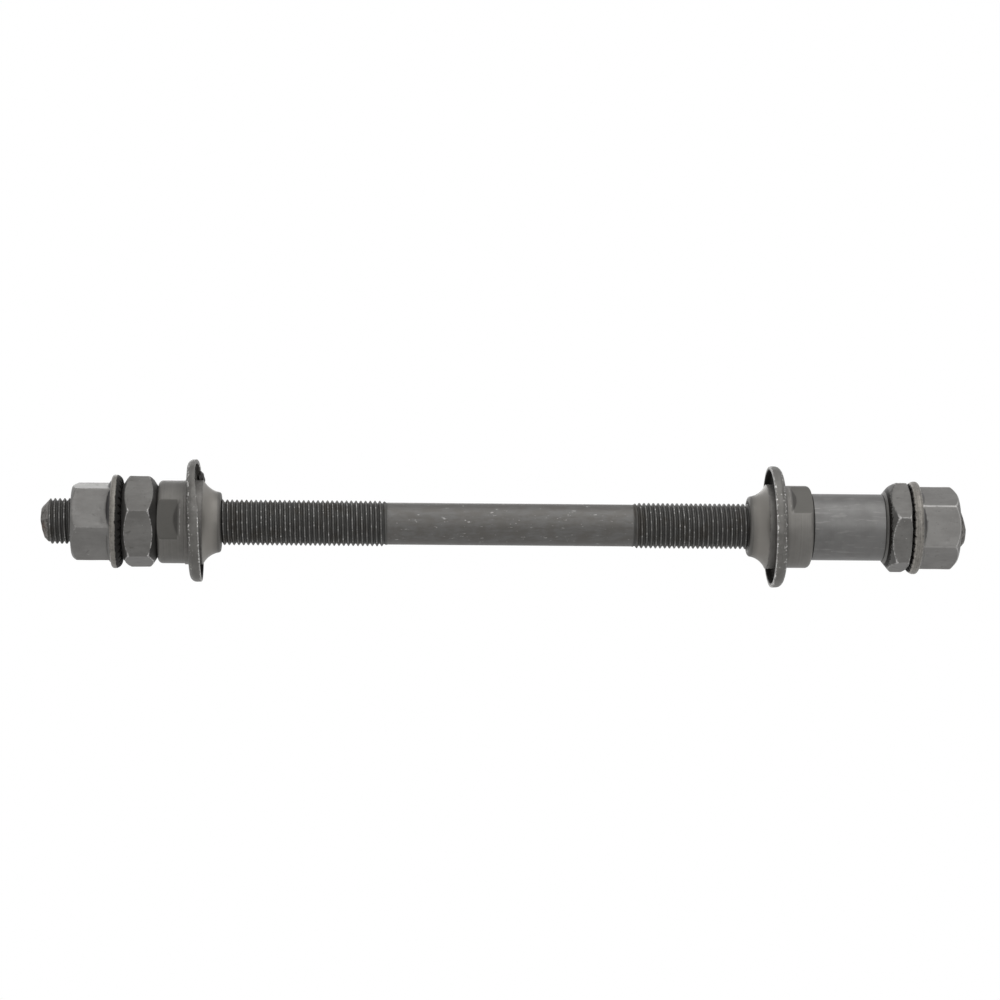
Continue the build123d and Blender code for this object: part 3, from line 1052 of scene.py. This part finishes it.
def capMarks(back, inward, tilt):
    # A hollow painted black, partly old grease and partly painted shade, and bright nicks along both edges of
    # the rim
    lean = math.radians(tilt)
    size = capSettings

    def marks(steel):
        depth = ((steel.x - back) * math.cos(lean) + steel.z * math.sin(lean)) * float(inward)
        hollowGreaseAndShade = (depth - size["sheet"]).rise(-0.12, 0.02)
        hollowGreaseAndShade = hollowGreaseAndShade * (size["hollowRadius"] - steel.radius).rise(-0.15, 0.05)
        outside = steel.radius.rise(*size["outside"])
        edges = (depth - size["rimMiddle"]).size().rise(0.55, 0.95) * outside
        nicks = edges * steel.specks(1.9, 0.17, steel.stretched(1.0, 1.3, 1.3, 6.0))
        line = (depth - size["rimLine"]).rise(0.0, 0.12) * outside
        line = line * steel.grain(1.8, 3.0, 0.7).rise(0.38, 0.58)
        stray = outside * steel.specks(2.0, 0.05)
        bright = (nicks * 0.9 + line * 0.5 + stray * 0.6).smaller(1.0)
        return [(bright, capFinish["bare"], -0.05), (hollowGreaseAndShade, capFinish["hollowGreaseAndShade"], 0.2)]
    return marks


for node, cone, inward, position, tilt, rise, bent, body, seed in capSettings["places"]:
    back = outerFace(cone, inward) + inward * position
    capMaterial = turnedFinish(node + "_finish", capFinish, capMarks(back, inward, tilt))
    shape = buildCap(capSettings, back, inward, tilt, rise, bent, seed)
    addPiece(node.replace("_", "."), shape, capMaterial, body, [node])
print("dust caps done")


# A black lump of painted shade at the top, between the left cap and its cone

shadeLumpSettings = {
    "low": 7.75,               # mm from the cone's outer face
    "high": 9.40,
    "radius": 8.95,
    "thick": 1.50,
    "height": 94.0,            # degrees above the front
    "reach": 13.0,
    "lumpScale": 1.9, "lump": 0.18,
    "fallStart": 8.6, "fall": 0.7,
}


def buildShadeLump(settings, face):
    shape = bmesh.new()
    bmesh.ops.create_uvsphere(shape, u_segments=40, v_segments=24, radius=1.0)
    middle = (settings["low"] + settings["high"]) / 2
    half = (settings["high"] - settings["low"]) / 2
    for vert in shape.verts:
        lump = 1 + noise.noise(vert.co * settings["lumpScale"]) * settings["lump"]
        x = face + middle + vert.co.x * half * lump
        height = settings["height"] + vert.co.y * settings["reach"] * lump
        # It thins out where the race falls away
        fall = max(x - face - settings["fallStart"], 0) * settings["fall"]
        vert.co = around(x, settings["radius"] + vert.co.z * settings["thick"] * lump - fall, height) * mm
    return shape


def shadeLumpMaterial():
    # Near-black, standing in for the shade between the left cap and its cone
    shadeSurface = Surface("blackShade")
    lumps = shadeSurface.grain(1.8, 4.0, 0.6)
    colour = lumps.rise(0.35, 0.65).mixed((0.006, 0.005, 0.005), (0.016, 0.014, 0.012))
    return shadeSurface.finish(colour, 0.5 + lumps * 0.3, 0.0, lumps, 0.06)


addPiece(
    "shadeLump", buildShadeLump(shadeLumpSettings, outerFace("left_cone", fromLeft)), shadeLumpMaterial(), "left_cone",
    [],
)


# Spacer tube

spacerSettings = {
    "length": 15.0,
    "radius": 6.875,
    "boreRadius": 5.0,
    "chamfer": 0.10,
    "steps": 160,
    "spacing": 0.6,
}


def buildSpacer(settings, face):
    length, radius, bore = settings["length"], settings["radius"], settings["boreRadius"]
    outline = softened([
        (0.0, bore, 0.15), (0.0, radius, settings["chamfer"]),
        (length, radius, settings["chamfer"]), (length, bore, 0.15),
    ])
    section = evenly(outline, settings["spacing"], bore)
    return turned([(face - x, r) for x, r in section], settings["steps"])


def spacerMarks(face):
    # A black line painted where it meets the cone, a painted shade in the joint, and faint smudges along it
    inner = face - spacerSettings["length"]

    def marks(steel):
        line = 1.0 - (steel.x - inner).rise(0.22, 0.34)
        smudge = steel.grain(1.0, 3.0, 0.6, steel.stretched(0.22, 1.5, 1.5, 13.0)).rise(0.55, 0.68)
        return [(smudge * 0.12, spacerFinish["bare"], -0.02), (line, spacerFinish["grimeAndShade"], 0.2)]
    return marks


spacerFace = outerFace("spacer", fromRight)
addPiece(
    "spacerTube", buildSpacer(spacerSettings, spacerFace),
    turnedFinish("spacerSteel", spacerFinish, spacerMarks(spacerFace)), "spacer", ["spacer"],
)
print("spacer done")


# Floor and white surroundings

def whiteRays(start):
    # 1 for the rays that show the background: straight, mirrored or through glass
    kinds = ("Is Camera Ray", "Is Glossy Ray", "Is Transmission Ray")
    straight, mirrored, through = (start.node("ShaderNodeLightPath", {}, {}, kind) for kind in kinds)
    return straight.larger(mirrored).larger(through)


floorSettings = {"size": 2.5, "height": -0.15, "shade": (0.75, 0.75, 0.75, 1), "rough": 0.9}


def addFloor(look):
    shape = bmesh.new()
    bmesh.ops.create_grid(shape, x_segments=4, y_segments=4, size=look["size"])
    bmesh.ops.translate(shape, verts=shape.verts, vec=(0, 0, look["height"]))
    mesh = bpy.data.meshes.new("floor")
    shape.to_mesh(mesh)
    shape.free()
    material = bpy.data.materials.new("whiteFloor")
    material.use_nodes = True
    tree = material.node_tree
    paper = tree.nodes["Principled BSDF"]
    paper.inputs["Base Color"].default_value = look["shade"]
    paper.inputs["Roughness"].default_value = look["rough"]
    start = Field(tree, paper.outputs[0])
    glow = start.node("ShaderNodeEmission", {}, {"Color": (1, 1, 1, 1), "Strength": 1.0})
    mix = start.node("ShaderNodeMixShader", {}, {0: whiteRays(start), 1: start, 2: glow})
    tree.links.new(mix.socket, tree.nodes["Material Output"].inputs["Surface"])
    mesh.materials.append(material)
    floor = bpy.data.objects.new("floor", mesh)
    bpy.context.scene.collection.objects.link(floor)


def addWorld():
    world = bpy.data.worlds.new("studio")
    bpy.context.scene.world = world
    world.use_nodes = True
    tree = world.node_tree
    ground = tree.nodes["Background"]
    ground.inputs["Color"].default_value = (1, 1, 1, 1)
    start = Field(tree, ground.outputs[0])
    strength = roomLight + whiteRays(start) * (1 - roomLight)
    tree.links.new(strength.socket, ground.inputs["Strength"])


addFloor(floorSettings)
addWorld()
print("floor and surroundings done")
